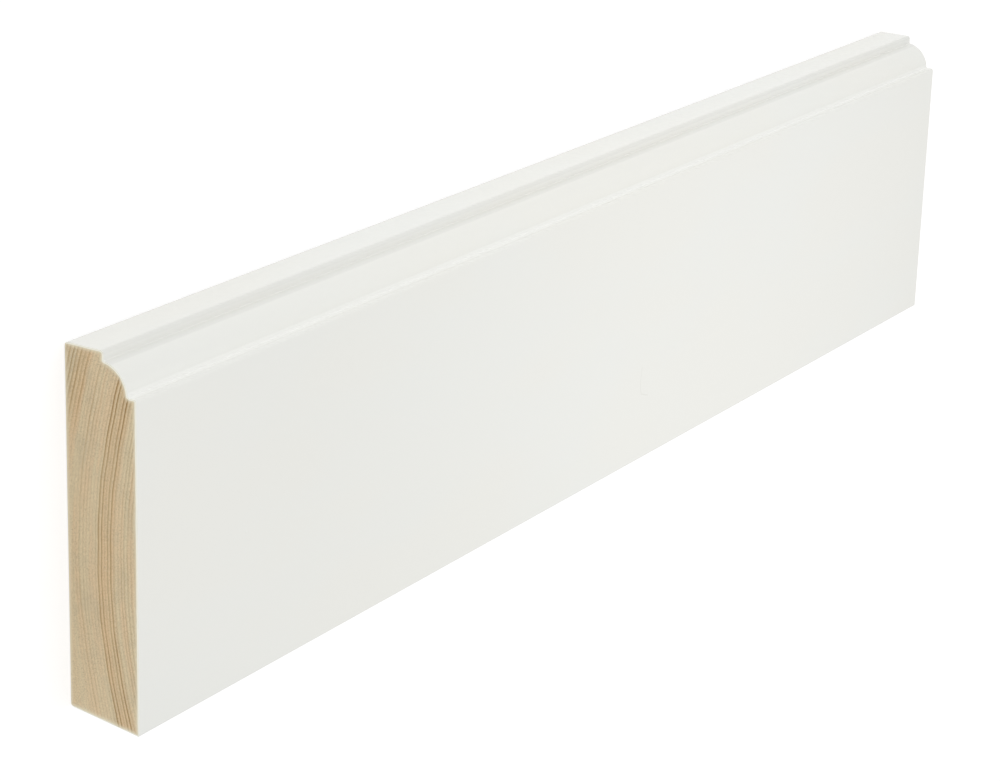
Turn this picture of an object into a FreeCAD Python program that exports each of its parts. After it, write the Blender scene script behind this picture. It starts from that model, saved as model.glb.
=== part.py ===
import FreeCAD, Part
import math
import os

import Sketcher

# A length of softwood skirting board, 21 x 95 mm in section, moulded along its top edge.
# It lies on its back: X runs along the length, +Y points to the moulded top edge and the
# face looks up along +Z. The back lies on Z = 0, with the origin below the middle of the
# board. The bottom edge is bevelled, so that only its front corner meets the floor.

# Driving dimensions, in millimetres and degrees
DIMENSIONS = [
    ("board_length", 430.0, "sawn length of the board"),
    ("board_height", 95.0, "from the bottom edge to the top edge"),
    ("board_thickness", 21.0, "from the back to the face"),
    ("quirk_width", 2.5, "flat ledge between the face and the foot of the ovolo"),
    ("ovolo_width", 7.0, "ovolo, measured through the thickness"),
    ("ovolo_drop", 7.5, "ovolo, measured down the height"),
    ("ovolo_arc_angle", 80.0, "angle that the ovolo's arc turns through"),
    ("step_drop", 2.5, "upright step between the ovolo and the top land"),
    ("bottom_bevel", 2.5, "how much higher the bottom edge is at the back than at the face"),
    ("land_arris_radius", 1.0, "rounding along the front of the top land"),
    ("face_arris_radius", 0.8, "rounding where the face meets the quirk"),
    ("bottom_arris_radius", 0.5, "rounding along the front of the bottom edge"),
    ("back_arris_radius", 1.0, "rounding along both edges of the back"),
]

# Share of the wall beside an arris that its rounding may take up
ROUNDING_SHARE = 0.8

# A long edge counts as lying at a corner of the section within this distance
EDGE_TOLERANCE = 1e-4


def add_sheet(doc):
    """Spreadsheet of the driving dimensions, one to a row."""
    sheet = doc.addObject("Spreadsheet::Sheet", "dims")
    for row, (alias, value, meaning) in enumerate(DIMENSIONS, start=1):
        sheet.set(f"A{row}", alias)
        sheet.set(f"B{row}", str(value))
        sheet.setAlias(f"B{row}", alias)
        sheet.set(f"C{row}", meaning)
    doc.recompute()
    return sheet


def section_corners(sheet):
    """Corners of the section before its arrises are rounded, with Y and Z as x and y."""
    top = sheet.board_height / 2
    face = sheet.board_thickness
    ovolo_head_y = top - sheet.step_drop
    quirk_y = ovolo_head_y - sheet.ovolo_drop
    ovolo_foot_z = face - sheet.quirk_width
    land_front_z = ovolo_foot_z - sheet.ovolo_width
    return {
        "back_bottom": FreeCAD.Vector(sheet.bottom_bevel - top, 0),
        "back_top": FreeCAD.Vector(top, 0),
        "land_front": FreeCAD.Vector(top, land_front_z),
        "ovolo_head": FreeCAD.Vector(ovolo_head_y, land_front_z),
        "ovolo_foot": FreeCAD.Vector(quirk_y, ovolo_foot_z),
        "face_quirk": FreeCAD.Vector(quirk_y, face),
        "face_bottom": FreeCAD.Vector(-top, face),
    }


def ovolo_arc(head, foot, arc_angle):
    """Convex arc from the head of the ovolo, under the step, down to its foot."""
    turn = math.radians(arc_angle)
    chord = head - foot
    radius = chord.Length / 2 / math.sin(turn / 2)
    inward = FreeCAD.Vector(chord.y, -chord.x).normalize()
    centre = (head + foot) / 2 + inward * radius * math.cos(turn / 2)
    start = math.atan2(head.y - centre.y, head.x - centre.x)
    circle = Part.Circle(centre, FreeCAD.Vector(0, 0, 1), radius)
    return Part.ArcOfCircle(circle, start, start + turn)


def add_section(body, sheet):
    """Sketch of the moulded section, square to the length."""
    sketch = body.newObject("Sketcher::SketchObject", "section")
    planes = {feature.Role: feature for feature in body.Origin.OriginFeatures}
    sketch.AttachmentSupport = [(planes["YZ_Plane"], "")]
    sketch.MapMode = "FlatFace"

    corner = section_corners(sheet)

    def line(start, end):
        return sketch.addGeometry(Part.LineSegment(corner[start], corner[end]))

    back = line("back_bottom", "back_top")
    land = line("back_top", "land_front")
    step = line("land_front", "ovolo_head")
    arc = ovolo_arc(corner["ovolo_head"], corner["ovolo_foot"], sheet.ovolo_arc_angle)
    ovolo = sketch.addGeometry(arc)
    quirk = line("ovolo_foot", "face_quirk")
    face = line("face_quirk", "face_bottom")
    bottom = line("face_bottom", "back_bottom")

    outline = [back, land, step, ovolo, quirk, face, bottom]
    for edge, following in zip(outline, outline[1:] + outline[:1]):
        sketch.addConstraint(Sketcher.Constraint("Coincident", edge, 2, following, 1))
    for edge in (back, step, face):
        sketch.addConstraint(Sketcher.Constraint("Horizontal", edge))
    for edge in (land, quirk):
        sketch.addConstraint(Sketcher.Constraint("Vertical", edge))
    sketch.addConstraint(Sketcher.Constraint("PointOnObject", back, 2, -1))
    middle = Sketcher.Constraint("DistanceX", -1, 1, back, 2, sheet.board_height / 2)
    index = sketch.addConstraint(middle)
    sketch.renameConstraint(index, "half_height")
    sketch.setExpression("Constraints.half_height", "dims.board_height / 2")

    def bind(alias, kind, *where, unit=""):
        value = getattr(sheet, alias)
        if kind == "Angle":
            value = math.radians(value)
        index = sketch.addConstraint(Sketcher.Constraint(kind, *where, value))
        sketch.renameConstraint(index, alias)
        sketch.setExpression(f"Constraints.{alias}", f"dims.{alias}{unit}")

    bind("board_height", "DistanceX", bottom, 1, back, 2)
    bind("bottom_bevel", "DistanceX", bottom, 1, bottom, 2)
    bind("board_thickness", "DistanceY", bottom, 2, bottom, 1)
    bind("quirk_width", "DistanceY", quirk, 1, quirk, 2)
    bind("ovolo_width", "DistanceY", ovolo, 1, ovolo, 2)
    bind("ovolo_drop", "DistanceX", ovolo, 2, ovolo, 1)
    bind("step_drop", "DistanceX", step, 2, step, 1)
    bind("ovolo_arc_angle", "Angle", ovolo, unit=" * 1 deg")
    return sketch


def add_length(body, section):
    """The section drawn out to the board's length, half to each side of the origin."""
    pad = body.newObject("PartDesign::Pad", "length")
    pad.Profile = section
    pad.SideType = "Symmetric"
    pad.setExpression("Length", "dims.board_length")
    return pad


def long_edges(shape, corners):
    """Names of the edges along the length that pass through corners of the section."""
    names = []
    for index, edge in enumerate(shape.Edges, start=1):
        ends = [FreeCAD.Vector(vertex.Y, vertex.Z) for vertex in edge.Vertexes]
        for corner in corners:
            if all(end.distanceToPoint(corner) < EDGE_TOLERANCE for end in ends):
                names.append(f"Edge{index}")
    return names


def add_rounding(doc, body, base, name, corners, radius):
    """One rounding along the long edges at corners of the section."""
    doc.recompute()
    fillet = body.newObject("PartDesign::Fillet", name)
    fillet.Base = (base, long_edges(base.Shape, corners))
    fillet.setExpression("Radius", radius)
    return fillet


def make_skirting_board(doc, sheet):
    """The whole board: one solid, planed and moulded, with square sawn ends."""
    body = doc.addObject("PartDesign::Body", "skirting_board")
    section = add_section(body, sheet)
    shape = add_length(body, section)
    corner = section_corners(sheet)
    roundings = [
        (
            "land_arris",
            ["land_front"],
            f"min(dims.land_arris_radius; dims.step_drop * {ROUNDING_SHARE})",
        ),
        (
            "face_arris",
            ["face_quirk"],
            f"min(dims.face_arris_radius; dims.quirk_width * {ROUNDING_SHARE})",
        ),
        ("bottom_arris", ["face_bottom"], "dims.bottom_arris_radius"),
        ("back_arrises", ["back_bottom", "back_top"], "dims.back_arris_radius"),
    ]
    for name, places, radius in roundings:
        corners = [corner[place] for place in places]
        shape = add_rounding(doc, body, shape, name, corners, radius)
    body.Tip = shape
    body.Label = "skirting_board"
    body.Placement = FreeCAD.Placement()
    return body


def check(doc, subparts):
    """Stops where a feature failed or a sub-part is not a sound solid."""
    for item in doc.Objects:
        if "Invalid" in item.State or "Error" in item.State:
            raise RuntimeError(f"{item.Name} failed: {item.State}")
    for subpart in subparts:
        if subpart.Shape.isNull() or not subpart.Shape.isValid():
            raise RuntimeError(f"{subpart.Label} has no valid shape")


def main():
    doc = FreeCAD.newDocument("skirting_board_length")
    sheet = add_sheet(doc)
    subparts = [make_skirting_board(doc, sheet)]
    doc.recompute()
    check(doc, subparts)
    os.makedirs("parts", exist_ok=True)
    for subpart in subparts:
        subpart.Shape.exportStep(f"parts/{subpart.Label}.step")
        box = subpart.Shape.BoundBox
        print(
            f"{subpart.Label}: {box.XLength:.2f} x {box.YLength:.2f} x {box.ZLength:.2f} mm,"
            f" {subpart.Shape.Volume / 1000:.2f} cm3, {len(subpart.Shape.Faces)} faces"
        )


main()
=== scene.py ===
import math

import bpy
import numpy as np
from mathutils import Matrix, Vector, noise
from mathutils.geometry import delaunay_2d_cdt


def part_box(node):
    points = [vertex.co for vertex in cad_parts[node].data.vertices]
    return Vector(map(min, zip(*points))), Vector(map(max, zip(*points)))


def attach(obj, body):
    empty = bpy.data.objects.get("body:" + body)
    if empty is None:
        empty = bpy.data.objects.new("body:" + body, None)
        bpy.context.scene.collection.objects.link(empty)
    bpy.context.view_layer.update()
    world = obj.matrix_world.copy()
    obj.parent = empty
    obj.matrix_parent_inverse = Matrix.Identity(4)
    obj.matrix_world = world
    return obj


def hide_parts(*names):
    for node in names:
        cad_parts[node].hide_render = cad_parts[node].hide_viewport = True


# A painted softwood skirting board that lies on its back, seen from above its face.
# It is one closed mesh over the solid, in three materials: paint, sawn wood and planed wood.
# Lengths are in metres unless a name or a comment says millimetres.

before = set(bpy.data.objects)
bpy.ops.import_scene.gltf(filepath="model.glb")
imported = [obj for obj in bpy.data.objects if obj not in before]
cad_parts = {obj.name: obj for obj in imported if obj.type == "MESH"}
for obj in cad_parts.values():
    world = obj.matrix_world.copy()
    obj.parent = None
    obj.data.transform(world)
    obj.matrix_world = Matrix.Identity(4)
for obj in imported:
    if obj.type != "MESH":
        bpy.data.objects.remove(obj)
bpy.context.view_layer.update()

NODE = "skirting_board"
LOW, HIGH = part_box(NODE)
MM = 0.001
FULL_TURN = 2 * math.pi

# The section, as the solid has it: Y runs across the board and Z out of its face
QUIRK_WIDTH = 2.5 * MM
OVOLO_WIDTH = 7.0 * MM
OVOLO_DROP = 7.5 * MM
OVOLO_TURN = math.radians(80)
STEP_DROP = 2.5 * MM
BOTTOM_BEVEL = 2.5 * MM
LAND_ARRIS = 1.0 * MM
FACE_ARRIS = 0.8 * MM
BOTTOM_ARRIS = 0.5 * MM
BACK_ARRIS = 1.0 * MM
# Paint fills the two inner corners of the moulding a little
STEP_FILLET = 0.3 * MM
QUIRK_FILLET = 0.6 * MM
# The paint ends on the back's arrises, at this height
PAINT_EDGE_Z = 0.4 * MM

# How finely the surface is divided: in arcs, on flats and at their ends, and on the sawn ends
ARC_STEP = math.radians(11)
OVOLO_PARTS = 22
FLAT_STEP = 2.6 * MM
FLAT_MARGIN = 0.2 * MM
SAWN_STEP = 0.36 * MM
END_STATIONS = [0.5 * MM, 1.2 * MM, 2.4 * MM]
# Points above this height lie on the face
FACE_Z = HIGH.z - FLAT_MARGIN / 2
# Edges that turn by more than this are shaded as sharp
SHARP_ANGLE = math.radians(28)
# Blender's number for a triangulation that keeps what lies inside its outline, and how near
# each other its points are taken as one
TRIANGLES_INSIDE = 1
WELD_DISTANCE = 1e-9

# Sawn ends: the cut edge of the paint film, and the relief that the saw left in the wood
FILM_WIDTH = 0.42 * MM
FILM_BEVEL = 0.16 * MM
BARE_RIM = 0.14 * MM
RIM_JITTER = 0.22
RIM_JITTER_PERIOD = 0.9 * MM
RING_NOTCH = 0.35
SAW_DEPTH = 0.035 * MM
SAW_PERIOD = 1.7 * MM
SAW_SLANT = math.radians(24)
SAW_WANDER = 1.3
RIDGE_HEIGHT = 0.035 * MM
FIBRE_DEPTH = 0.05 * MM
FIBRE_PERIOD = 0.7 * MM
# How far paint has soaked into the end grain from the rim
SOAK_REACH = 0.55 * MM

# Growth rings, in millimetres: the pith runs along X, far out beyond the face
PITH_Y = -4.5
PITH_Z = 165.0
STEM_TAPER = 0.004
# Slow waves in the rings: size, turns per millimetre along X, Y and Z, and phase
RING_WAVES = [
    (0.30, 0.0021, 0.0008, 0.004, 2.84),
    (0.07, 0.0058, 0.033, 0.021, 2.1),
    (0.05, 0.0130, 0.081, 0.052, 4.4),
]
# Radius at which each ring's late wood is darkest, at the end on the -X side, and how dark.
# They are stops of a colour ramp, which holds 32
RING_LINES = [
    (142.0, 0.22), (143.1, 0.24), (144.2, 0.18), (145.2, 0.24), (146.3, 0.22),
    (147.3, 0.26), (148.4, 0.28), (149.2, 0.26), (150.2, 0.16), (151.4, 0.26),
    (152.3, 0.82), (153.3, 0.54), (154.2, 0.20), (155.0, 0.76), (156.05, 0.76),
    (156.9, 0.20), (157.9, 0.12), (158.8, 0.14), (159.7, 0.18), (160.6, 0.20),
    (161.8, 0.26), (162.8, 0.13), (163.7, 0.12), (164.6, 0.20), (165.6, 0.42),
    (166.7, 0.26), (167.8, 0.46), (168.9, 0.34), (169.9, 0.42), (171.0, 0.36),
    (172.0, 0.42), (173.5, 0.34),
]
# Where in each ring, from 0 to 1, the dark late wood starts, is full, and starts to fade
LATE_START, LATE_FULL, LATE_FADING = 0.30, 0.84, 0.95

# A hairline scratch in the face's paint, along a path in X and Y
SCRATCH_PATH = [
    Vector((21.2, -18.0)) * MM,
    Vector((20.6, -22.3)) * MM,
    Vector((20.9, -25.5)) * MM,
    Vector((21.5, -26.7)) * MM,
    Vector((25.2, -28.0)) * MM,
]
SCRATCH_WIDTH = 0.12 * MM
SCRATCH_DEPTH = 0.02 * MM
# The face is divided closely there: start, end and spacing in X and in Y, in millimetres
SCRATCH_STATIONS = [(20.1, 22.2, 0.1), (22.4, 25.8, 0.2)]
SCRATCH_ROWS = [(-28.5, -26.1, 0.12), (-25.6, -17.4, 0.7)]

# The mesh's material slots, in their order
PAINT, SAWN, PLANED = range(3)

# Colours, linear
PAINT_COLOUR = (0.862, 0.868, 0.829)
WARM_PAINT = (0.868, 0.866, 0.818)
# The colour of the painted highlight along the quirk
HIGHLIGHT_PAINT = (0.935, 0.940, 0.905)
CREAM_PAINT = (0.930, 0.905, 0.760)
SCRATCHED_PAINT = (0.50, 0.49, 0.42)
# The colour that the painted shade beside the step mixes towards
SHADE_BLACK = (0.0, 0.0, 0.0)
EARLY_WOOD = (0.727, 0.609, 0.406)
LATE_WOOD = (0.345, 0.213, 0.082)
PEACH_WOOD = (0.755, 0.560, 0.355)
GREY_WOOD = (0.630, 0.535, 0.365)
AMBER_WOOD = (0.690, 0.460, 0.240)
RAY_WOOD = (0.76, 0.66, 0.50)
RESIN_WOOD = (0.30, 0.20, 0.10)
SOAKED_WOOD = (0.850, 0.790, 0.610)

# The Mix node's sockets for colours
MIX_SHARE, MIX_FIRST, MIX_SECOND, MIX_RESULT = 0, 6, 7, 2

# The camera stands above and to the left of the board, with the moulded edge upwards
CAMERA_PLACE = Vector((-725.9, 269.7, 437.9)) * MM
CAMERA_TARGET = Vector((-57.6, -3.7, 20.7)) * MM
CAMERA_ROLL = math.radians(-1.81)
# The lens and the sensor are in millimetres
CAMERA_LENS = 109.36
SENSOR_WIDTH = 36.0

FLOOR_SIZE = 8.0
FLOOR_GAP = 0.1 * MM
# The floor's colour for the light that falls on it, and its colour and glow where it is seen
FLOOR_BOUNCE = 0.88
FLOOR_SEEN = 0.44
FLOOR_GLOW = 0.695
# The world's strength as a light. It is seen as plain white
WORLD_LIGHT = 0.70
# Softboxes: name, place, what it faces, width, height and power in watts
SOFTBOXES = [
    ("key", (-0.15, 1.1, 0.22), (0.0, 0.0, 0.0), 1.4, 0.4, 2.7),
    ("top", (0.03, -0.03, 0.36), (0.03, 0.0, 0.0), 0.42, 0.5, 0.36),
    ("side", (1.15, -0.38, 0.6), (0.0, 0.0, 0.0), 0.38, 0.26, 0.1),
    ("fill", (-1.2, -0.3, 0.24), (-0.2, 0.0, 0.0), 0.7, 0.4, 1.25),
]


def ring_radius(x, y, z):
    """Distance from the pith in millimetres, with the rings' slow waves, for arrays in metres."""
    x, y, z = x / MM, y / MM, z / MM
    radius = np.hypot(y - PITH_Y, z - PITH_Z) + STEM_TAPER * (x - LOW.x / MM)
    for size, along_x, along_y, along_z, phase in RING_WAVES:
        turns = along_x * x + along_y * y + along_z * z
        radius = radius + size * np.sin(FULL_TURN * turns + phase)
    return radius


def late_wood(x, y, z):
    """How dark the late wood is, from 0 to 1, for arrays in metres."""
    radius = ring_radius(x, y, z)
    lines, strengths = zip(*RING_LINES)
    share = np.mod(np.interp(radius, lines, range(len(lines))) + LATE_FULL, 1.0)
    rise = np.clip((share - LATE_START) / (LATE_FULL - LATE_START), 0, 1)
    fall = np.clip((1 - share) / (1 - LATE_FADING), 0, 1)
    return rise * rise * (3 - 2 * rise) * fall * np.interp(radius, lines, strengths)


def scratch_share(x, y):
    """1 on the line of the scratch, falling to 0 beside it, for arrays in X and Y."""
    nearest = np.full(np.shape(x), np.inf)
    for start, end in zip(SCRATCH_PATH, SCRATCH_PATH[1:]):
        edge = end - start
        share = ((x - start.x) * edge.x + (y - start.y) * edge.y) / edge.length_squared
        share = np.clip(share, 0, 1)
        away = np.hypot(x - start.x - share * edge.x, y - start.y - share * edge.y)
        nearest = np.minimum(nearest, away)
    return np.exp(-((nearest / SCRATCH_WIDTH) ** 2))


def ovolo_points(head, foot):
    """Points on the convex arc from the head of the ovolo to its foot."""
    chord = head - foot
    radius = chord.length / 2 / math.sin(OVOLO_TURN / 2)
    inward = Vector((chord.y, -chord.x)).normalized()
    centre = (head + foot) / 2 + inward * radius * math.cos(OVOLO_TURN / 2)
    spoke = head - centre
    start = math.atan2(spoke.y, spoke.x)
    turns = [start + OVOLO_TURN * part / OVOLO_PARTS for part in range(OVOLO_PARTS + 1)]
    return [centre + radius * Vector((math.cos(turn), math.sin(turn))) for turn in turns]


def rounded(before, corner, after, radius):
    """The corner between two edges of the outline, turned into an arc of the radius."""
    towards, away = (before - corner).normalized(), (after - corner).normalized()
    half = towards.angle(away) / 2
    reach = radius / math.tan(half)
    start, end = corner + towards * reach, corner + away * reach
    centre = corner + (towards + away).normalized() * radius / math.sin(half)
    first, last = start - centre, end - centre
    turn = math.atan2(first.x * last.y - first.y * last.x, first.dot(last))
    parts = max(2, math.ceil(abs(turn) / ARC_STEP))
    return [
        centre + Matrix.Rotation(turn * part / parts, 2) @ first for part in range(parts + 1)
    ]


def section_outline():
    """The section's outline with Y and Z as x and y, anticlockwise seen from +X."""
    ledge_y = HIGH.y - STEP_DROP - OVOLO_DROP
    land_z = HIGH.z - QUIRK_WIDTH - OVOLO_WIDTH
    ovolo = ovolo_points(
        Vector((HIGH.y - STEP_DROP, land_z)), Vector((ledge_y, HIGH.z - QUIRK_WIDTH))
    )
    # The section is as wide each side of Y 0, but its rounded bottom arris ends a little short
    bottom_y = -HIGH.y
    corners = [
        (Vector((bottom_y + BOTTOM_BEVEL, LOW.z)), BACK_ARRIS),
        (Vector((HIGH.y, LOW.z)), BACK_ARRIS),
        (Vector((HIGH.y, land_z)), LAND_ARRIS),
        (ovolo[0], STEP_FILLET),
        *[(point, 0) for point in ovolo[1:-1]],
        (ovolo[-1], QUIRK_FILLET),
        (Vector((ledge_y, HIGH.z)), FACE_ARRIS),
        (Vector((bottom_y, HIGH.z)), BOTTOM_ARRIS),
    ]
    outline = []
    for index, (corner, radius) in enumerate(corners):
        before, after = corners[index - 1][0], corners[(index + 1) % len(corners)][0]
        outline += rounded(before, corner, after, radius) if radius else [corner]
    return outline


def stretches(spans):
    """The places in metres that spans of (start, end, spacing) in millimetres give."""
    return [
        MM * place
        for start, end, spacing in spans
        for place in np.arange(start, end + spacing / 2, spacing)
    ]


def divided(outline):
    """The outline with its flats divided, closely at their ends and across the scratch."""
    rows = stretches(SCRATCH_ROWS)
    points = []
    for start, end in zip(outline, outline[1:] + outline[:1]):
        length = (end - start).length
        shares = [0.0]
        if length > 3 * FLAT_MARGIN:
            inner = length - 2 * FLAT_MARGIN
            parts = max(1, round(inner / FLAT_STEP))
            steps = [FLAT_MARGIN + inner * part / parts for part in range(parts + 1)]
            # The face runs towards -Y, so a step along it lowers Y
            if min(start.y, end.y) > FACE_Z:
                kept = [step for step in steps if not rows[0] < start.x - step < rows[-1]]
                steps = sorted(kept + [start.x - row for row in rows])
            shares += [step / length for step in steps]
        points += [start.lerp(end, share) for share in shares]
    return points


def stations():
    """Places along X where the outline is repeated, from one paint rim to the other."""
    ends = [FILM_BEVEL] + END_STATIONS
    span = HIGH.x - LOW.x - 2 * END_STATIONS[-1]
    parts = round(span / FLAT_STEP)
    close = stretches(SCRATCH_STATIONS)
    middle = [LOW.x + END_STATIONS[-1] + span * part / parts for part in range(1, parts)]
    places = [LOW.x + end for end in ends] + [HIGH.x - end for end in ends]
    places += [x for x in middle if not close[0] < x < close[-1]] + close
    return sorted(places)


def noise_on_end(end_x, points, period):
    """Noise from -1 to 1 at points in Y and Z on a sawn end."""
    return np.array([noise.noise(Vector((end_x, *point)) / period) for point in points])


def outward_normals(points):
    """Unit normals at the points of a closed anticlockwise outline."""
    along = np.roll(points, -1, axis=0) - np.roll(points, 1, axis=0)
    normals = np.column_stack([along[:, 1], -along[:, 0]])
    return normals / np.linalg.norm(normals, axis=1)[:, None]


def rim_outline(points, end_x):
    """The outline inside the cut edge of the film, narrower where late wood meets it."""
    jitter = noise_on_end(end_x, points, RIM_JITTER_PERIOD)
    width = np.where(points[:, 1] > PAINT_EDGE_Z, FILM_WIDTH, BARE_RIM)
    notch = RING_NOTCH * late_wood(end_x, points[:, 0], points[:, 1])
    width = width * (1 + RIM_JITTER * jitter - notch)
    return points - outward_normals(points) * width[:, None]


def depth_inside(points, outline):
    """How far points lie inside a closed outline, or -1 for those outside it."""
    within = np.zeros(len(points), bool)
    nearest = np.full(len(points), np.inf)
    for start, end in zip(outline, np.roll(outline, -1, axis=0)):
        edge = end - start
        crosses = (start[1] > points[:, 1]) != (end[1] > points[:, 1])
        # No point's row crosses a level edge, so there any rise will do
        rise = edge[1] if edge[1] else 1.0
        cross_y = start[0] + (points[:, 1] - start[1]) / rise * edge[0]
        within ^= crosses & (points[:, 0] < cross_y)
        share = np.clip((points - start) @ edge / (edge @ edge), 0, 1)
        away = np.linalg.norm(points - start - share[:, None] * edge, axis=1)
        nearest = np.minimum(nearest, away)
    return np.where(within, nearest, -1.0)


def sawn_net(rim):
    """A sawn end's points, the rim's first, with their depths inside it, and its triangles."""
    row_step = SAWN_STEP * math.sqrt(3) / 2
    rows = np.arange(LOW.z, HIGH.z, row_step)
    columns = np.arange(LOW.y, HIGH.y, SAWN_STEP)
    net = np.array(
        [(y + SAWN_STEP / 2 * (row % 2), z) for row, z in enumerate(rows) for y in columns]
    )
    depths = depth_inside(net, rim)
    kept = depths > SAWN_STEP / 2
    given = np.vstack([rim, net[kept]])
    depths = np.concatenate([np.zeros(len(rim)), depths[kept]])
    _, _, faces, origins, _, _ = delaunay_2d_cdt(
        [Vector(point) for point in given], [], [list(range(len(rim)))],
        TRIANGLES_INSIDE, WELD_DISTANCE,
    )
    triangles = [[origins[corner][0] for corner in face] for face in faces]
    return given, depths, triangles


def sawn_relief(end_x, points):
    """How far the sawn wood lies inside the end's plane: saw marks, ridges and fibres."""
    y, z = points[:, 0], points[:, 1]
    across = y * math.cos(SAW_SLANT) + z * math.sin(SAW_SLANT)
    wander = SAW_WANDER * np.sin(z / FIBRE_PERIOD)
    marks = 0.5 + 0.5 * np.sin(FULL_TURN * across / SAW_PERIOD + wander)
    fibres = 0.5 + 0.5 * noise_on_end(end_x, points, FIBRE_PERIOD)
    ridges = 1 - late_wood(end_x, y, z)
    return SAW_DEPTH * marks + FIBRE_DEPTH * fibres + RIDGE_HEIGHT * ridges


def joined_rings(here, there, count):
    """The faces between two rings of points, from the number of each ring's first point."""
    following = [(index + 1) % count for index in range(count)]
    return [
        (here + index, here + after, there + after, there + index)
        for index, after in enumerate(following)
    ]


def board_surface():
    """The closed surface: its points, faces and their slots, and how soaked each point is."""
    points = np.array([tuple(point) for point in divided(section_outline())])
    count = len(points)
    on_face = points[:, 1] > FACE_Z
    middle_z = (points[:, 1] + np.roll(points[:, 1], -1)) / 2
    side_slots = [PAINT if z > PAINT_EDGE_Z else PLANED for z in middle_z]
    rim_slots = [PAINT if slot == PAINT else SAWN for slot in side_slots]

    vertices, faces, slots = [], [], []
    for x in stations():
        groove = SCRATCH_DEPTH * scratch_share(x, points[:, 0]) * on_face
        vertices += [(x, y, z - dip) for (y, z), dip in zip(points, groove)]
    last_ring = len(vertices) - count
    for ring in range(0, last_ring, count):
        faces += joined_rings(ring, ring + count, count)
        slots += side_slots

    soaked = [0.0] * len(vertices)
    for end_x, ring, outward in ((LOW.x, 0, -1), (HIGH.x, last_ring, 1)):
        net, from_rim, triangles = sawn_net(rim_outline(points, end_x))
        depth = sawn_relief(end_x, net)
        depth[:count] = 0
        first = len(vertices)
        vertices += [(end_x - outward * dip, y, z) for (y, z), dip in zip(net, depth)]
        soaked += list(np.exp(-((from_rim / SOAK_REACH) ** 2)))
        ends = joined_rings(ring, first, count)
        ends += [[first + corner for corner in triangle] for triangle in triangles]
        faces += ends if outward > 0 else [face[::-1] for face in ends]
        slots += rim_slots + [SAWN] * len(triangles)
    return vertices, faces, slots, soaked


class Nodes:
    """The nodes of a material or a world, with short calls to add and join them."""

    def __init__(self, owner):
        owner.use_nodes = True
        self.tree = owner.node_tree
        self.tree.nodes.clear()

    def node(self, kind, **settings):
        made = self.tree.nodes.new("ShaderNode" + kind)
        for name, value in settings.items():
            setattr(made, name, value)
        return made

    def join(self, value, socket):
        """Links a socket, or sets a number or colour as the input's own value."""
        if isinstance(value, bpy.types.NodeSocket):
            self.tree.links.new(value, socket)
        else:
            socket.default_value = value

    def math(self, operation, *values, clamp=False):
        made = self.node("Math", operation=operation, use_clamp=clamp)
        for value, socket in zip(values, made.inputs):
            self.join(value, socket)
        return made.outputs[0]

    def between(self, share, first, second):
        """The first number where share is 0, the second where it is 1."""
        made = self.node("MapRange")
        self.join(share, made.inputs["Value"])
        self.join(first, made.inputs["To Min"])
        self.join(second, made.inputs["To Max"])
        return made.outputs[0]

    def seen_directly(self):
        """1 for rays from the camera, mirrors and glass, and 0 for light that falls on things."""
        path = self.node("LightPath")
        seen = self.math("MAXIMUM", path.outputs["Is Camera Ray"], path.outputs["Is Glossy Ray"])
        return self.math("MAXIMUM", seen, path.outputs["Is Transmission Ray"])


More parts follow.
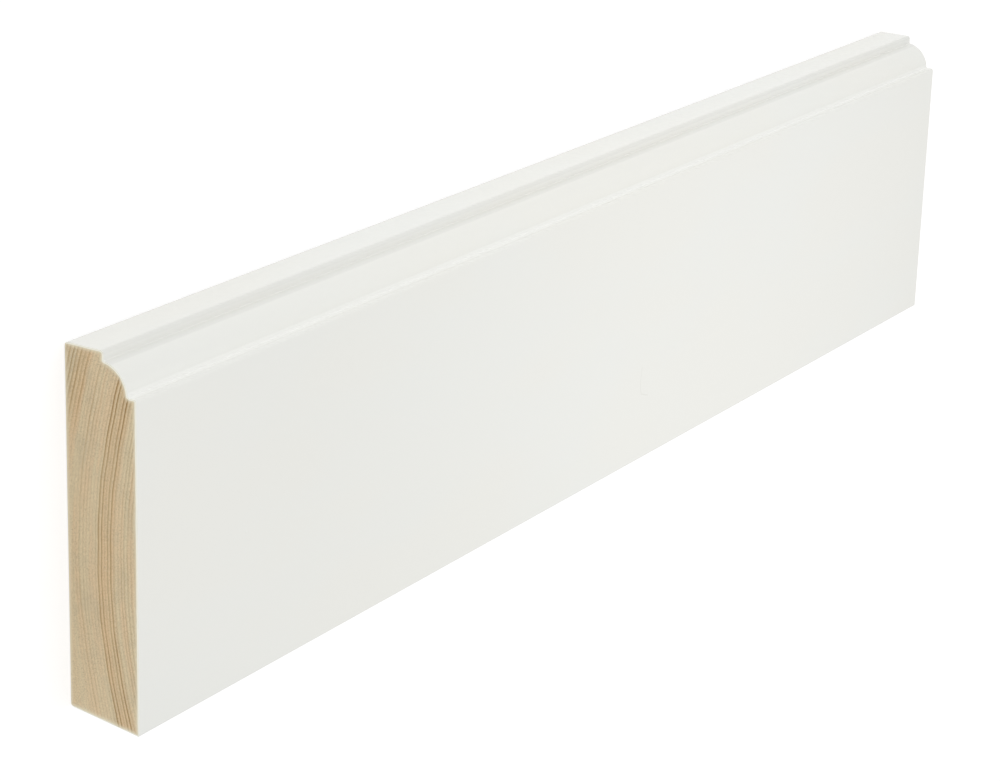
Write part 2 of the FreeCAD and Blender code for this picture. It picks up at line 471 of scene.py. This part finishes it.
class Shader(Nodes):
    """A material of the board, with its place on the board in millimetres."""

    def __init__(self, name):
        self.material = bpy.data.materials.new(name)
        super().__init__(self.material)
        coordinates = self.node("TexCoord")
        scaled = self.node("VectorMath", operation="SCALE")
        self.join(coordinates.outputs["Object"], scaled.inputs[0])
        self.join(1 / MM, scaled.inputs["Scale"])
        self.place = scaled.outputs[0]
        split = self.node("SeparateXYZ")
        self.join(self.place, split.inputs[0])
        self.x, self.y, self.z = split.outputs

    def product(self, first, second, clamp=False):
        return self.math("MULTIPLY", first, second, clamp=clamp)

    def total(self, *values):
        result = values[0]
        for value in values[1:]:
            result = self.math("ADD", result, value)
        return result

    def weighed(self, values, weights):
        """The sum of the values, each times its weight."""
        return self.total(*[self.product(*pair) for pair in zip(values, weights)])

    def spread(self, value, low, high, to_low=0.0, to_high=1.0):
        """Smooth change from to_low to to_high as the value goes from low to high."""
        made = self.node("MapRange", interpolation_type="SMOOTHSTEP")
        for number, socket in zip((value, low, high, to_low, to_high), made.inputs):
            self.join(number, socket)
        return made.outputs[0]

    def band(self, value, start, full, fading, stop):
        """1 from full to fading, falling to 0 at start and at stop."""
        rise = self.spread(value, start, full)
        fall = self.spread(value, fading, stop, 1.0, 0.0)
        return self.product(rise, fall)

    def vector(self, x, y, z):
        made = self.node("CombineXYZ")
        for value, socket in zip((x, y, z), made.inputs):
            self.join(value, socket)
        return made.outputs[0]

    def stretched(self, grain):
        """The place, scaled along X, Y and Z."""
        made = self.node("VectorMath", operation="MULTIPLY")
        self.join(self.place, made.inputs[0])
        self.join(grain, made.inputs[1])
        return made.outputs[0]

    def ringwise(self, radius, grain):
        """The place along X, Y and out from the pith, scaled along each."""
        places = zip((self.x, self.y, radius), grain)
        return self.vector(*[self.product(*pair) for pair in places])

    def noise(self, vector, scale=1.0, detail=2.0, roughness=0.5):
        made = self.node("TexNoise")
        self.join(vector, made.inputs["Vector"])
        self.join(scale, made.inputs["Scale"])
        self.join(detail, made.inputs["Detail"])
        self.join(roughness, made.inputs["Roughness"])
        return made.outputs["Fac"]

    def dots(self, scale, solid, clear):
        """1 at scattered dots, falling to 0 between two distances from their centres."""
        made = self.node("TexVoronoi", feature="F1")
        self.join(self.place, made.inputs["Vector"])
        self.join(scale, made.inputs["Scale"])
        return self.spread(made.outputs["Distance"], solid, clear, 1.0, 0.0)

    def on_mesh(self, name):
        """The mesh's own number of that name."""
        return self.node("Attribute", attribute_name=name).outputs["Fac"]

    def ramp(self, value, stops):
        """A grey curve through stops of (position, level)."""
        made = self.node("ValToRGB")
        self.join(value, made.inputs[0])
        elements = made.color_ramp.elements
        while len(elements) < len(stops):
            elements.new(1.0)
        for element, (position, level) in zip(elements, stops):
            element.position = position
            element.color = (level, level, level, 1)
        return made.outputs[0]

    def mix(self, share, first, second, blend="MIX"):
        """Mixes two colours."""
        made = self.node("Mix", data_type="RGBA", blend_type=blend)
        self.join(share, made.inputs[MIX_SHARE])
        for colour, socket in ((first, MIX_FIRST), (second, MIX_SECOND)):
            self.join((*colour, 1) if isinstance(colour, tuple) else colour, made.inputs[socket])
        return made.outputs[MIX_RESULT]

    def bump(self, height, distance, strength):
        made = self.node("Bump")
        self.join(strength, made.inputs["Strength"])
        self.join(distance, made.inputs["Distance"])
        self.join(height, made.inputs["Height"])
        return made.outputs[0]

    def finish(self, colour, roughness, normal, specular):
        """The surface shader and the material's output."""
        surface = self.node("BsdfPrincipled")
        self.join(colour, surface.inputs["Base Color"])
        self.join(roughness, surface.inputs["Roughness"])
        self.join(normal, surface.inputs["Normal"])
        self.join(specular, surface.inputs["Specular IOR Level"])
        output = self.node("OutputMaterial")
        self.join(surface.outputs[0], output.inputs[0])
        return self.material


# Below, each material has its values before its function. They measure in millimetres. A grain
# is a noise's cells per millimetre along X, Y and Z, or along X, Y and out from the pith where
# it follows the rings. Four numbers of a change, a reach or a roughness are the two values that
# it runs between and what it gives at each. Four of a band are where it starts, is full, fades
# and stops. A bump is its height in metres and its strength

# All wood. Late wood is bolder in some patches, and up the board between these two Y. There the
# outer rings, which start between these two radii, also fade less and turn amber
PATCH_GRAIN = (0.02, 0.06, 0.12)
PATCH_CHANGE = (0.3, 0.7, 0.75, 1.15)
UPWARD_Y = (18.0, 38.0)
UPWARD_GAIN = (1.0, 1.6)
OUTER_RINGS = (163.0, 165.0)
OUTER_FADE = (0.85, 0.25)
OUTER_BAND = (164.4, 165.4, 167.6, 169.4)
OUTER_AMBER = (0.0, 0.35)
# The group of dark rings is amber too
GROUP_BAND = (150.6, 152.0, 155.6, 156.8)
GROUP_AMBER = 0.28
PEACH_GRAIN = (0.01, 0.022, 0.45)
PEACH_CHANGE = (0.38, 0.62, 0.0, 0.55)
GREY_GRAIN = (0.03, 0.11, 0.2)
GREY_CHANGE = (0.45, 0.7, 0.0, 0.6)


def rings(shader):
    """How dark the late wood is, and its radius, as the mesh has them but for softer ends."""
    from_pith = shader.node("VectorMath", operation="LENGTH")
    across = shader.math("SUBTRACT", shader.y, PITH_Y)
    out = shader.math("SUBTRACT", shader.z, PITH_Z)
    shader.join(shader.vector(0.0, across, out), from_pith.inputs[0])
    along = shader.math("SUBTRACT", shader.x, LOW.x / MM)
    radius = shader.total(from_pith.outputs["Value"], shader.product(along, STEM_TAPER))
    for size, along_x, along_y, along_z, phase in RING_WAVES:
        turns = shader.total(
            shader.product(shader.x, FULL_TURN * along_x),
            shader.product(shader.y, FULL_TURN * along_y),
            shader.product(shader.z, FULL_TURN * along_z),
            phase,
        )
        radius = shader.total(radius, shader.product(shader.math("SINE", turns), size))

    lines, strengths = zip(*RING_LINES)
    first, reach, last = lines[0], lines[-1] - lines[0], len(lines) - 1
    share = shader.math("DIVIDE", shader.math("SUBTRACT", radius, first), reach)
    places = [(line - first) / reach for line in lines]
    count = shader.ramp(share, [(place, index / last) for index, place in enumerate(places)])
    strength = shader.ramp(share, list(zip(places, strengths)))
    in_ring = shader.math("ADD", shader.product(count, last), LATE_FULL)
    late = shader.band(shader.math("FRACT", in_ring), LATE_START, LATE_FULL, LATE_FADING, 1.0)
    return shader.product(late, strength), radius


def wood_colour(shader):
    """Pine: pale early wood, dark late wood in a close group, and soft warm bands."""
    late, radius = rings(shader)
    patch = shader.noise(shader.stretched(PATCH_GRAIN), detail=1.0)
    late = shader.product(late, shader.spread(patch, *PATCH_CHANGE))
    outer = shader.spread(radius, *OUTER_RINGS)
    faded = shader.product(outer, shader.spread(shader.y, *UPWARD_Y, *OUTER_FADE))
    late = shader.product(late, shader.math("SUBTRACT", 1.0, faded))
    upward = shader.spread(shader.y, *UPWARD_Y, *UPWARD_GAIN)
    late = shader.product(late, upward, clamp=True)

    peach = shader.noise(shader.ringwise(radius, PEACH_GRAIN))
    colour = shader.mix(shader.spread(peach, *PEACH_CHANGE), EARLY_WOOD, PEACH_WOOD)
    grey = shader.noise(shader.stretched(GREY_GRAIN))
    colour = shader.mix(shader.spread(grey, *GREY_CHANGE), colour, GREY_WOOD)
    dark_group = shader.product(shader.band(radius, *GROUP_BAND), GROUP_AMBER)
    outer_group = shader.product(
        shader.band(radius, *OUTER_BAND), shader.spread(shader.y, *UPWARD_Y, *OUTER_AMBER)
    )
    colour = shader.mix(shader.total(dark_group, outer_group), colour, AMBER_WOOD)
    return shader.mix(late, colour, LATE_WOOD), late, radius


# Sawn wood: pale rays across the rings, cells, paint soaked in from the rim, and resin canals
RAY_GRAIN = (1.0, 3.2, 0.55)
RAY_CHANGE = (0.62, 0.78, 0.0, 0.30)
CELL_GRAIN = 3.6
CELL_LEVELS = [(0.25, 0.67), (0.5, 1.0), (0.75, 1.13)]
SOAKED_SHARE = 0.75
CANAL_GRAIN = 0.55
CANAL_EDGE = (0.035, 0.09)
CANAL_SHARE = 0.45
# How much cells, late wood and canals raise it
SAWN_WEIGHTS = (0.7, 0.6, -0.8)
SAWN_BUMP = (0.08 * MM, 0.6)
SAWN_ROUGHNESS = (0.3, 0.7, 0.92, 0.78)
SAWN_SPECULAR = 0.25


def sawn_material():
    """Bare end grain, as the saw left it."""
    shader = Shader("sawn_pine")
    colour, late, radius = wood_colour(shader)
    rays = shader.noise(shader.ringwise(radius, RAY_GRAIN), detail=1.0)
    colour = shader.mix(shader.spread(rays, *RAY_CHANGE), colour, RAY_WOOD)
    cells = shader.noise(shader.place, scale=CELL_GRAIN, detail=3.0, roughness=0.65)
    colour = shader.mix(1.0, colour, shader.ramp(cells, CELL_LEVELS), "MULTIPLY")
    soaked = shader.product(shader.on_mesh("soaked"), SOAKED_SHARE)
    colour = shader.mix(soaked, colour, SOAKED_WOOD)
    canals = shader.dots(CANAL_GRAIN, *CANAL_EDGE)
    colour = shader.mix(shader.product(canals, CANAL_SHARE), colour, RESIN_WOOD)
    height = shader.weighed((cells, late, canals), SAWN_WEIGHTS)
    normal = shader.bump(height, *SAWN_BUMP)
    roughness = shader.spread(cells, *SAWN_ROUGHNESS)
    return shader.finish(colour, roughness, normal, SAWN_SPECULAR)


# Planed wood: streaks along the grain, faint knife marks, and a mist of paint by the long edges
STREAK_GRAIN = (0.035, 2.2, 2.2)
STREAK_LEVELS = [(0.3, 0.86), (0.55, 1.0), (0.8, 1.04)]
MIST_GRAIN = (0.25, 0.9, 0.9)
MIST_REACH = (0.35, 0.75, 0.9, 3.2)
MIST_CHANGE = (0.55, 1.0, 0.9, 0.0)
KNIFE_PITCH = 1.5
# How much knife marks, streaks and late wood raise it
PLANED_WEIGHTS = (0.15, 1.0, 0.5)
PLANED_BUMP = (0.05 * MM, 0.5)
PLANED_ROUGHNESS = (0.3, 0.7, 0.75, 0.6)
PLANED_SPECULAR = 0.35


def planed_material():
    """Bare pine along the grain, planed, with a little stray paint by its long edges."""
    shader = Shader("planed_pine")
    colour, late, _ = wood_colour(shader)
    streaks = shader.noise(shader.stretched(STREAK_GRAIN), detail=3.0, roughness=0.6)
    colour = shader.mix(1.0, colour, shader.ramp(streaks, STREAK_LEVELS), "MULTIPLY")

    # The bevel takes in the back's lower edge, so the back's middle lies half a bevel higher
    middle = BOTTOM_BEVEL / 2 / MM
    half_width = (HIGH.y - BOTTOM_BEVEL / 2) / MM
    from_middle = shader.math("ABSOLUTE", shader.math("SUBTRACT", shader.y, middle))
    to_edge = shader.math("SUBTRACT", half_width, from_middle)
    mist = shader.noise(shader.stretched(MIST_GRAIN), detail=3.0, roughness=0.7)
    inward = shader.math("DIVIDE", to_edge, shader.spread(mist, *MIST_REACH))
    colour = shader.mix(shader.spread(inward, *MIST_CHANGE), colour, PAINT_COLOUR)

    knife = shader.math("SINE", shader.product(shader.x, FULL_TURN / KNIFE_PITCH))
    height = shader.weighed((knife, streaks, late), PLANED_WEIGHTS)
    normal = shader.bump(height, *PLANED_BUMP)
    roughness = shader.spread(streaks, *PLANED_ROUGHNESS)
    return shader.finish(colour, roughness, normal, PLANED_SPECULAR)


# Paint: warmer clouds, faint flow, faint grain from the wood beneath, and a few nibs of dust
CLOUD_GRAIN = (0.012, 0.03, 0.03)
CLOUD_CHANGE = (0.35, 0.65)
FLOW_GRAIN = 0.55
BENEATH_GRAIN = (0.02, 0.9, 0.9)
NIB_GRAIN = 0.06
NIB_EDGE = (0.008, 0.022)
# Painted shade darkens it on both sides of the step, in strips: the Y above which each is
# full, its band in Z, and how far below that Y it starts
SHADE_STRIPS = [(46.8, (10.4, 10.9, 11.5, 11.8)), (43.2, (11.15, 12.25, 13.3, 13.9))]
SHADE_RISE = 0.5
SHADE_STRENGTH = 0.065
# A painted highlight makes it whiter along the quirk, in these bands of Y and Z
HIGHLIGHT_BAND_Y = (36.7, 37.2, 38.2, 38.9)
HIGHLIGHT_BAND_Z = (16.8, 17.6, 19.7, 20.3)
HIGHLIGHT_STRENGTH = 0.95
# It is creamier by the sawn ends: how far from them that starts, and how far it is full
CREAM_EDGE = (0.3, 0.05)
CREAM_SHARE = 0.7
SCRATCH_SHARE = 0.22
# How much flow, grain and nibs raise it
PAINT_WEIGHTS = (0.35, 0.25, 1.5)
PAINT_BUMP = (0.03 * MM, 0.5)
PAINT_ROUGHNESS = (0.3, 0.7, 0.20, 0.25)
PAINT_SPECULAR = 0.5


def paint_material():
    """Satin white paint, sprayed on: faint flow, faint grain beneath, a few nibs."""
    shader = Shader("satin_paint")
    cloud = shader.noise(shader.stretched(CLOUD_GRAIN))
    colour = shader.mix(shader.spread(cloud, *CLOUD_CHANGE), PAINT_COLOUR, WARM_PAINT)
    # Painted shade: the paint is darkened in strips beside the step, where shade falls
    for foot, strip in SHADE_STRIPS:
        above = shader.spread(shader.y, foot - SHADE_RISE, foot, 0.0, SHADE_STRENGTH)
        grey = shader.product(shader.band(shader.z, *strip), above)
        colour = shader.mix(grey, colour, SHADE_BLACK)
    # Painted highlight: the paint is whitened along the quirk
    white = shader.product(
        shader.band(shader.y, *HIGHLIGHT_BAND_Y), shader.band(shader.z, *HIGHLIGHT_BAND_Z)
    )
    colour = shader.mix(shader.product(white, HIGHLIGHT_STRENGTH), colour, HIGHLIGHT_PAINT)

    from_middle = shader.math("ABSOLUTE", shader.x)
    start, full = [HIGH.x / MM - inward for inward in CREAM_EDGE]
    cream = shader.spread(from_middle, start, full, 0.0, CREAM_SHARE)
    colour = shader.mix(cream, colour, CREAM_PAINT)
    scratch = shader.product(shader.on_mesh("scratch"), SCRATCH_SHARE)
    colour = shader.mix(scratch, colour, SCRATCHED_PAINT)

    flow = shader.noise(shader.place, scale=FLOW_GRAIN)
    grain = shader.noise(shader.stretched(BENEATH_GRAIN))
    nibs = shader.dots(NIB_GRAIN, *NIB_EDGE)
    height = shader.weighed((flow, grain, nibs), PAINT_WEIGHTS)
    normal = shader.bump(height, *PAINT_BUMP)
    roughness = shader.spread(flow, *PAINT_ROUGHNESS)
    return shader.finish(colour, roughness, normal, PAINT_SPECULAR)


def added(name, data):
    """A new object of the scene."""
    made = bpy.data.objects.new(name, data)
    bpy.context.scene.collection.objects.link(made)
    return made


def make_board():
    """The dressed board, which stands for the solid."""
    vertices, faces, slots, soaked = board_surface()
    mesh = bpy.data.meshes.new("painted_board")
    mesh.from_pydata(vertices, [], faces)
    mesh.polygons.foreach_set("material_index", slots)
    mesh.shade_smooth()
    mesh.set_sharp_from_angle(angle=SHARP_ANGLE)
    x, y, z = np.array(vertices).T
    for name, values in (("scratch", scratch_share(x, y) * (z > FACE_Z)), ("soaked", soaked)):
        attribute = mesh.attributes.new(name, "FLOAT", "POINT")
        attribute.data.foreach_set("value", np.array(values, np.float32))
    for material in (paint_material(), sawn_material(), planed_material()):
        mesh.materials.append(material)
    board = added("painted_board", mesh)
    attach(board, "root")
    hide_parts(NODE)


def floor_material():
    """White where it is seen, and plain matt for the light that it throws on the board."""
    material = bpy.data.materials.new("floor_white")
    nodes = Nodes(material)
    seen = nodes.seen_directly()
    matt = nodes.node("BsdfDiffuse")
    nodes.join(nodes.between(seen, FLOOR_BOUNCE, FLOOR_SEEN), matt.inputs["Color"])
    glow = nodes.node("Emission")
    nodes.join(nodes.between(seen, 0.0, FLOOR_GLOW), glow.inputs["Strength"])
    both = nodes.node("AddShader")
    nodes.join(matt.outputs[0], both.inputs[0])
    nodes.join(glow.outputs[0], both.inputs[1])
    output = nodes.node("OutputMaterial")
    nodes.join(both.outputs[0], output.inputs[0])
    return material


def make_floor():
    """A plain white floor that keeps a soft shadow."""
    half = FLOOR_SIZE / 2
    corners = [(-half, -half), (half, -half), (half, half), (-half, half)]
    mesh = bpy.data.meshes.new("floor")
    mesh.from_pydata([(x, y, LOW.z - FLOOR_GAP) for x, y in corners], [], [(0, 1, 2, 3)])
    mesh.materials.append(floor_material())
    floor = added("floor", mesh)


def make_world():
    """Even white light from all round, and a white background."""
    world = bpy.data.worlds.new("studio")
    nodes = Nodes(world)
    background = nodes.node("Background")
    strength = nodes.between(nodes.seen_directly(), WORLD_LIGHT, 1.0)
    nodes.join((1.0, 1.0, 1.0, 1.0), background.inputs["Color"])
    nodes.join(strength, background.inputs["Strength"])
    output = nodes.node("OutputWorld")
    nodes.join(background.outputs[0], output.inputs[0])
    bpy.context.scene.world = world


def make_softbox(name, place, target, width, height, power):
    """A rectangular studio lamp that faces its target."""
    lamp = bpy.data.lights.new(name, "AREA")
    lamp.shape = "RECTANGLE"
    lamp.size, lamp.size_y = width, height
    lamp.energy = power
    holder = added(name, lamp)
    holder.location = place
    holder.rotation_euler = (Vector(target) - Vector(place)).to_track_quat("-Z", "Y").to_euler()


def make_camera():
    """The camera at the photograph's angle, turned so that the moulded edge is uppermost."""
    data = bpy.data.cameras.new("camera")
    data.sensor_width = SENSOR_WIDTH
    data.lens = CAMERA_LENS
    forward = (CAMERA_TARGET - CAMERA_PLACE).normalized()
    level = (Vector((0, 1, 0)) - forward * forward.y).normalized()
    up = Matrix.Rotation(CAMERA_ROLL, 3, forward) @ level
    right = forward.cross(up)
    turned = Matrix((right, up, -forward)).transposed().to_4x4()
    camera = added("camera", data)
    camera.matrix_world = Matrix.Translation(CAMERA_PLACE) @ turned
    bpy.context.scene.camera = camera


make_camera()
make_world()
for softbox in SOFTBOXES:
    make_softbox(*softbox)
make_floor()
make_board()
bpy.context.scene.view_settings.view_transform = "Standard"
